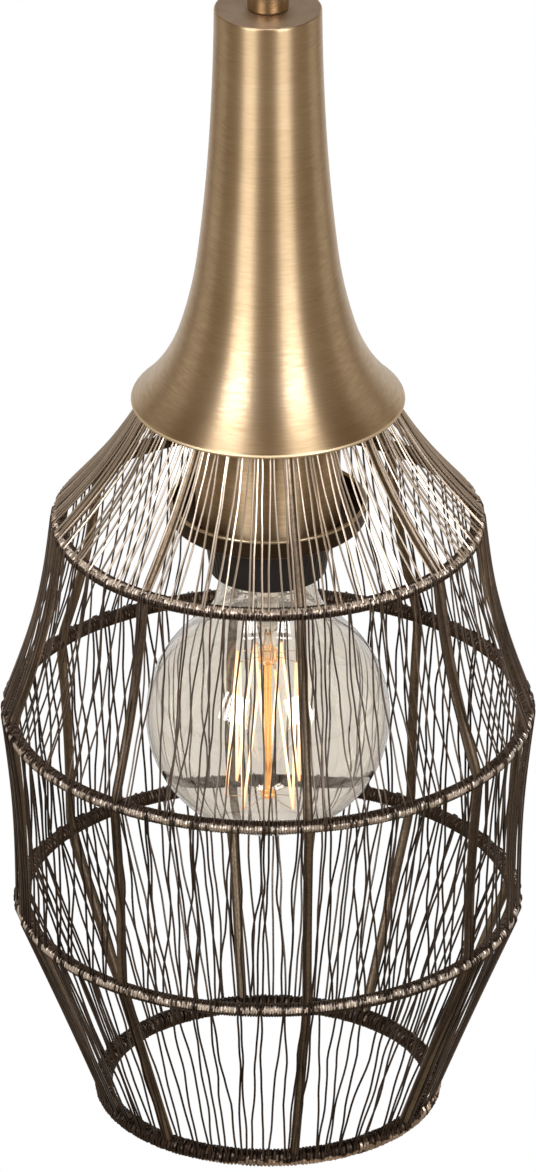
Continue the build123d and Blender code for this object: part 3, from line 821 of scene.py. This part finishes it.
def trumpet_cap():
    """Spun brass cap with a softened neck edge and a rolled lip.

    Its sides are cut where the neck's edge and the lip take over.
    """
    outer = [p for p in trumpet_side(0, 26) if p[1] < -18.9]
    inner = [p for p in trumpet_side(TRUMPET_WALL, 14) if -182.6 < p[1] < -20.4]
    head = rounded([(5.15, -18.0, 0), (20.69, -18.0, 0.85), (20.71, -20.0, 0)])[:-1]
    lip = rolled(CAP_LIP, range(46, -171, -12))
    outline = head + outer + lip + inner[::-1] + [(19.5, -19.2), (5.15, -19.2)]
    return lathed("trumpet_cap_brass", outline, segments=224)


def cover_cup():
    """Brass cup over the lampholder."""
    outline = rounded([
        (5.15, -178.0, 0),
        (28.0, -178.0, 2.5),
        (28.0, -233.5, 0.35),
        (27.0, -233.5, 0),
        (27.0, -179.0, 1.5),
        (5.15, -179.0, 0),
    ], steps=8)
    return lathed("cover_cup_brass", outline)


def shallow_dish():
    """Dark dish with a beaded rim, open in the middle."""
    floor = rounded([
        (37.0, -228.0, 0),
        (37.0, -233.5, 1.0),
        (20.15, -233.5, 0),
        (20.15, -234.5, 0),
        (38.0, -234.5, 2.0),
        (38.0, -228.0, 0),
    ], steps=6)
    return lathed("shallow_dish_bronze", rolled(DISH_BEAD, range(-40, 221, 20)) + floor)


def skirt():
    """Black skirt with fine grip ribs round its widest band."""
    ribs, depth, ribs_top, ribs_foot = 60, 0.22, -235.6, -255.0

    def ribbed(r, z, angle):
        if 22.7 < r < 25.4 and ribs_foot < z < ribs_top:
            fade = min(1.0, (z - ribs_foot) / 2.0, (ribs_top - z) / 1.5)
            return r - depth * fade * (0.5 + 0.5 * math.cos(angle * ribs))
        return r

    shares = (0.06, 0.12, 0.2, 0.35, 0.5, 0.65, 0.8, 0.88, 0.94)
    side = [(25.5 - 2.9 * share, -234.5 - 21.5 * share) for share in shares]
    top = rounded([(20.05, -243.0, 0), (20.05, -234.5, 0), (25.5, -234.5, 0.8), (25.4, -235.3, 0)])[:-1]
    foot = rounded([(22.75, -254.9, 0), (22.6, -256.0, 0.7), (20.5, -256.0, 0.4), (20.5, -243.0, 0)])[1:]
    return lathed("holder_skirt_black", top + side + foot, segments=360, twist=ribbed)


# Bulb
def glass_side(inset):
    """Outline of the bulb's glass from its open neck to its bottom, drawn in by an inset."""
    spigot, neck, globe, middle = 12.75, 18.3, 47.5, -319.5
    neck_level = -258.55
    rise = neck_level - middle
    flare = (rise ** 2 - globe ** 2 + neck ** 2) / (2 * (globe - neck))
    share = globe / (globe + flare) - inset / (globe + flare)
    meeting = ((neck + flare) * share, middle + rise * share)
    points = [(spigot - inset, -247.0), (spigot - inset, -253.0 - inset)]
    points += tangent_arc(points[-1], (neck - inset, neck_level), (1, 0), steps=10)
    points += tangent_arc((neck - inset, neck_level), meeting, (0, -1), steps=18)
    start, steps = math.atan2(meeting[1] - middle, meeting[0]), 56
    for i in range(1, steps + 1):
        angle = start + (-math.pi / 2 - start) * i / steps
        points.append(((globe - inset) * math.cos(angle), middle + (globe - inset) * math.sin(angle)))
    points[-1] = (0.0, middle - globe + inset)
    return points


def bulb_globe():
    """Blown globe, one closed skin outside and inside."""
    return lathed("bulb_globe_glass", glass_side(0) + glass_side(1.0)[::-1], segments=144)


def bulb_stem():
    """Glass stem: flared foot, tube, button, rod and end."""
    outline = rounded([
        (0.0, -262.0, 0),
        (3.2, -262.0, 0.6),
        (9.7, -246.0, 0),
        (12.75, -246.0, 0),
        (12.75, -247.0, 0),
        (10.7, -247.0, 0.4),
        (4.2, -262.0, 1.5),
        (4.2, -282.0, 1.2),
        (1.5, -284.5, 0.8),
        (1.5, -290.6, 0.4),
        (3.8, -291.2, 1.6),
        (3.8, -296.9, 1.6),
        (1.5, -297.6, 0.4),
        (1.5, -352.6, 0.3),
        (2.6, -353.1, 0.6),
        (2.6, -356.0, 1.2),
        (0.0, -356.0, 0),
    ], steps=4)
    return lathed("bulb_stem_glass", outline, segments=64)


def screw_cap():
    """Bulb's cap with its rolled thread."""
    pitch, depth, thread_top, thread_foot = 3.6, 0.95, -233.4, -249.6

    def threaded(r, z, angle):
        if r > 12.9 and thread_foot < z < thread_top:
            fade = min(1.0, (z - thread_foot) / 1.2, (thread_top - z) / 1.2)
            return r - depth * fade * (0.5 - 0.5 * math.cos(2 * math.pi * z / pitch + angle))
        return r

    side = [(13.2, -231.0 - 0.3 * i) for i in range(1, 66)]
    outline = [(12.0, -231.0), (12.9, -231.0)] + side
    outline += [(13.2, -251.0), (13.8, -252.0), (13.8, -253.0), (12.8, -253.0), (12.0, -251.0)]
    return lathed("bulb_cap_threaded", outline, segments=96, twist=threaded)


def around(radius, angle, level):
    """Point at a radius and a level, at an angle in degrees from the front towards +X."""
    turn = math.radians(angle)
    return radius * math.sin(turn), -radius * math.cos(turn), level


def filament_corners():
    """Turning points of the filament, top and bottom by turns."""
    corners = []
    for i in range(FILAMENT_POINTS):
        radius, level = FILAMENT_FOOT if i % 2 else FILAMENT_HEAD
        corners.append(Vector(around(radius, FILAMENT_START + FILAMENT_STEP * i, level)))
    return corners


def filament_paths():
    """Filament path, eased round each hook."""
    corners = filament_corners()
    path = [corners[0]]
    for before, corner, after in zip(corners, corners[1:], corners[2:]):
        for share in (0.045, 0.02, 0.006):
            path.append(corner.lerp(before, share))
        for share in (0.006, 0.02, 0.045):
            path.append(corner.lerp(after, share))
    return [path + [corners[-1]]]


def hook_paths():
    """Hooks from the stem's end and button to the filament's turning points."""
    paths = []
    for i, tip in enumerate(filament_corners()[1:-1]):
        inner, sag = (2.0, -0.32) if i % 2 == 0 else (3.2, 0.32)
        reach = Vector((tip.x, tip.y, 0))
        way = reach.normalized()
        root = way * inner + Vector((0, 0, tip.z))
        knee = way * (inner + 0.55 * (reach.length - inner)) + Vector((0, 0, tip.z + sag))
        paths.append([root, knee, tip])
    return paths


def lead_paths():
    """Leads from the stem's tube to the ends of the filament."""
    corners = filament_corners()
    paths = []
    for tip in (corners[0], corners[-1]):
        way = Vector((tip.x, tip.y, 0)).normalized()
        paths.append([way * 3.4 + Vector((0, 0, -281)), tip])
    return paths


# Cage
def on_ring(ring, turn, stand_off):
    """Point off a ring's bar, at a turn in degrees above its outermost side."""
    radius, level, bar = ring
    way = math.radians(turn)
    reach = bar + stand_off
    return Vector((radius + reach * math.cos(way), 0, level + reach * math.sin(way)))


def dipped(start, end, dip, steps, inwards):
    """Points from start to end, drawn in by a dip halfway."""
    points = []
    for i in range(steps + 1):
        drawn = dip * math.sin(math.pi * i / steps)
        points.append(start.lerp(end, i / steps) + inwards * drawn)
    return points


def lace_path(upper, lower, dip):
    """One run of wire at angle nought: tucked in at the lower ring, hooked over the upper."""
    start, end = on_ring(lower, 42, 0.15), on_ring(upper, 2, 0.15)
    between = dipped(start, end, dip, steps=17, inwards=Vector((-1, 0, 0)))
    return [on_ring(lower, 12, -0.9)] + between + [on_ring(upper, *place) for place in HOOK]


def laced_tier(number, upper, lower, surface, radius, dip, pull, lean, wave):
    """All the wires between two rings."""
    level = (upper[1] + lower[1]) / 2
    return grown(f"lacing_{number}", LACED_TIER, [lace_path(upper, lower, dip)], {
        "Wires": LACES,
        "Radius": radius * MM,
        "Middle": level * MM,
        "Half Height": (upper[1] - lower[1]) / 2 * MM,
        "Pull": pull,
        "Lean": lean,
        "Wave": wave,
        "Seed": 11 * number,
        "Surface": surface,
    })


def bound_ring(number, ring, surface, binding, unevenness, slip):
    """A ring's bar with its binding, whose turns lie 2.02 of its radii apart."""
    radius, level, bar = ring
    return grown(f"ring_{number}", BOUND_RING, [[(0, 0, 0), (0, 0, 1)]], {
        "Ring Radius": radius * MM,
        "Level": level * MM,
        "Bar": bar * MM,
        "Turns": int(2 * math.pi * (radius + bar) / (2.02 * binding)),
        "Binding": binding * MM,
        "Unevenness": unevenness * MM,
        "Slip": slip,
        "Seed": 3.1 * number,
        "Surface": surface,
        "Core": ROD_BRONZE,
    })


def rod_paths():
    """Rods through the middles of the rings, drawn in a little between them."""
    paths = []
    for i in range(RODS):
        angle = CAGE_TURN + 360 / RODS * i
        turns = [Vector(around(radius, angle, level)) for radius, level, _ in RINGS.values()]
        inwards = Vector(around(-1, angle, 0))
        path = [turns[0]]
        for start, end, dip in zip(turns, turns[1:], ROD_DIPS):
            path += dipped(start, end, dip, steps=14, inwards=inwards)[1:]
        eased = [
            before.lerp(after, 0.5).lerp(turn, 0.5)
            for before, turn, after in zip(path, path[1:], path[2:])
        ]
        paths.append([path[0]] + eased + [path[-1]])
    return paths


# Pieces turned round the axis
cap = finish_mesh(
    "trumpet_cap_brass", trumpet_cap(), "lamp", BRUSHED_BRASS, ["trumpet_cap"]
)
# Upward faces of the neck take the darker brass, painted shade in part
repaint(cap, NECK_BRASS, lambda face: face.normal.z > 0.95 and face.center.z > NECK_TOP)
# The lip takes the pale brass, which paints its highlight line in part
repaint(cap, EDGE_BRASS, lambda face: face.center.z < LIP_START)
finish_mesh("cover_cup_brass", cover_cup(), "lamp", COVER_BRASS, ["cover_cup"])
dish = finish_mesh(
    "shallow_dish_bronze", shallow_dish(), "lamp", DARK_BRONZE, ["shallow_dish"]
)
# The rim bead takes the pale bronze, which paints its highlight line in part
repaint(dish, RIM_BRONZE, lambda face: face.center.z > BEAD_FOOT)
finish_mesh("holder_skirt_black", skirt(), "skirt", BLACK_MOULDING, ["holder_skirt"])
finish_mesh("bulb_globe_glass", bulb_globe(), "bulb", GLOBE_GLASS, ["bulb_glass"])
finish_mesh("bulb_stem_glass", bulb_stem(), "bulb", STEM_GLASS, ["bulb_stem"])
finish_mesh("bulb_cap_threaded", screw_cap(), "bulb", CAP_METAL, ["bulb_cap"])

# Round wires: piece, paths, radius, sides, material, body, CAD node and slot
for name, paths, radius, sides, surface, body, node, slot in [
    ("filament_wire", filament_paths(), 0.55, 10, FILAMENT_GLOW, "bulb", "filament", "filament_wire"),
    ("filament_hook_wires", hook_paths(), 0.16, 6, HOOK_WIRE_PAINTED_GLOW, "bulb", "filament_hooks", "filament_wire"),
    ("lead_wire_pair", lead_paths(), 0.4, 8, HOOK_WIRE_PAINTED_GLOW, "bulb", "lead_wires", "filament_wire"),
    ("cage_rod_bars", rod_paths(), ROD_RADIUS, 20, ROD_BRONZE, "lamp", "cage_rods", "bronze_wire"),
]:
    mesh = grown(name, ROUND_WIRE, paths, {"Radius": radius * MM, "Sides": sides, "Surface": surface})
    finish_mesh(name, mesh, body, None, [node])

# Rings: material of the binding, its wire's radius, unevenness and slip
ring_look = (BINDING_WIRE, 0.52, 0.12, 0.8)
mouth_look = (MOUTH_BINDING, 0.75, 1.0, 2.2)
for number, (name, ring) in enumerate(RINGS.items()):
    look = mouth_look if name == "mouth_ring" else ring_look
    finish_mesh(name + "_bound", bound_ring(number, ring, *look), "lamp", None, [name])

# Tiers of lacing from the top: material, wire's radius, dip, pull, lean and wave. The upper tiers'
# materials are painted-lit copies of the lower tiers' bronze.
tier_looks = [
    (WIRE_PAINTED_LIT, 0.42, 3.1, 0.35, 0.6, 0.025),
    (WIRE_PAINTED_HALF_LIT, 0.38, 3.1, 0.6, 0.75, 0.05),
    (BRONZE_WIRE, 0.44, 1.5, 0.6, 0.75, 0.06),
    (BRONZE_WIRE, 0.44, 0.3, 0.6, 0.75, 0.06),
]
levels = list(RINGS.values())
for number, (upper, lower, look) in enumerate(zip(levels, levels[1:], tier_looks), 1):
    mesh = laced_tier(number, upper, lower, *look)
    finish_mesh(f"laced_tier_{number}", mesh, "lamp", None, [f"lacing_tier_{number}"])

# CAD nodes shown as they are
cad_looks = {
    "cord_grip_body": GRIP_BRASS,
    "cord_grip_screw": ZINC,
    "threaded_tube": ZINC,
    "neck_washer": ZINC,
    "neck_lock_nut": TURNED_BRASS,
    "cage_lock_nut": TURNED_BRASS,
    "cage_washer": ZINC,
    "earth_tag": ZINC,
    "cage_spider": DARK_BRONZE,
    "holder_cap": BLACK_MOULDING,
    "holder_barrel": BLACK_MOULDING,
    "holder_core": PORCELAIN,
    "holder_terminals": TURNED_BRASS,
    "terminal_screws": ZINC,
    "screw_shell": CAP_METAL,
    "contact_plunger": CAP_METAL,
    "contact_spring": CAP_METAL,
    "cap_insulator": BLACK_GLASS,
    "cap_tip": SOLDER,
}
for name, surface in cad_looks.items():
    nodes[name].data.materials.clear()
    nodes[name].data.materials.append(surface)
    nodes[name].data.shade_smooth()
    nodes[name].data.set_sharp_from_angle(angle=CREASE)


# World: white to the camera and through glass. Surfaces reflect a dim warm room, darker
# overhead, with a pale backdrop low behind the lamp.
WHITE = (1.0, 1.0, 1.0, 1)
ROOM = (0.285, 0.236, 0.18, 1)
OVERHEAD = (0.11, 0.068, 0.035, 1)
BACKDROP = 0.62

world = bpy.data.worlds.new("studio")
bpy.context.scene.world = world
world.use_nodes = True
sky = world.node_tree
rays = add(sky, "ShaderNodeLightPath", {}, {}).outputs
compass = parted(sky, add(sky, "ShaderNodeTexCoord", {}, {}).outputs["Generated"])
north, high = compass[1], compass[2]
behind = times(sky, spread(sky, north, 0.6, 0.9), spread(sky, high, 0.6, 0.2))
mirrored = times(sky, rays["Is Glossy Ray"], BACKDROP)
seen = maths(sky, "MAXIMUM", rays["Is Camera Ray"], rays["Is Transmission Ray"])
seen = maths(sky, "MAXIMUM", seen, times(sky, mirrored, behind))
room = blended(sky, spread(sky, high, 0.35, 0.75), ROOM, OVERHEAD)
fill(sky, sky.nodes["Background"], {"Color": blended(sky, seen, room, WHITE), "Strength": 1.0})

# What the camera and the lights look at, in metres: the middle of what the photograph shows
AIM = Vector((0, 0, -0.264))


def place_facing(thing, azimuth, elevation, distance):
    """Puts a camera or a light round the aim, in degrees and metres, and turns it there."""
    az, el = math.radians(azimuth), math.radians(elevation)
    way = Vector((math.sin(az) * math.cos(el), -math.cos(az) * math.cos(el), math.sin(el)))
    bpy.context.scene.collection.objects.link(thing)
    thing.location = AIM + way * distance
    thing.rotation_euler = (AIM - thing.location).to_track_quat("-Z", "Y").to_euler()


# Lights: name, azimuth, elevation, distance, width, height and power, in metres and watts
for name, azimuth, elevation, distance, width, height, power in [
    ("left softbox", -37, 26, 2.6, 1.15, 1.15, 35),
    ("right softbox", 33, 26, 2.6, 1.1, 1.15, 32.5),
    ("left reflector", -105, 5, 2.6, 1.2, 2.6, 2.5),
    ("right reflector", 105, 5, 2.6, 1.2, 2.6, 2.5),
    ("overhead left", -150, 74, 2.2, 0.3, 0.3, 6),
    ("overhead right", 165, 74, 2.2, 0.3, 0.3, 6),
]:
    light = bpy.data.lights.new(name, "AREA")
    light.shape = "RECTANGLE"
    light.size, light.size_y, light.energy = width, height, power
    place_facing(bpy.data.objects.new(name, light), azimuth, elevation, distance)

# Camera
lens = bpy.data.cameras.new("camera")
lens.sensor_width = 36.0
lens.lens = 522.0
lens.clip_end = 100.0
camera = bpy.data.objects.new("camera", lens)
place_facing(camera, azimuth=0, elevation=26.4, distance=6.58)
bpy.context.scene.camera = camera
bpy.context.scene.view_settings.view_transform = "Standard"
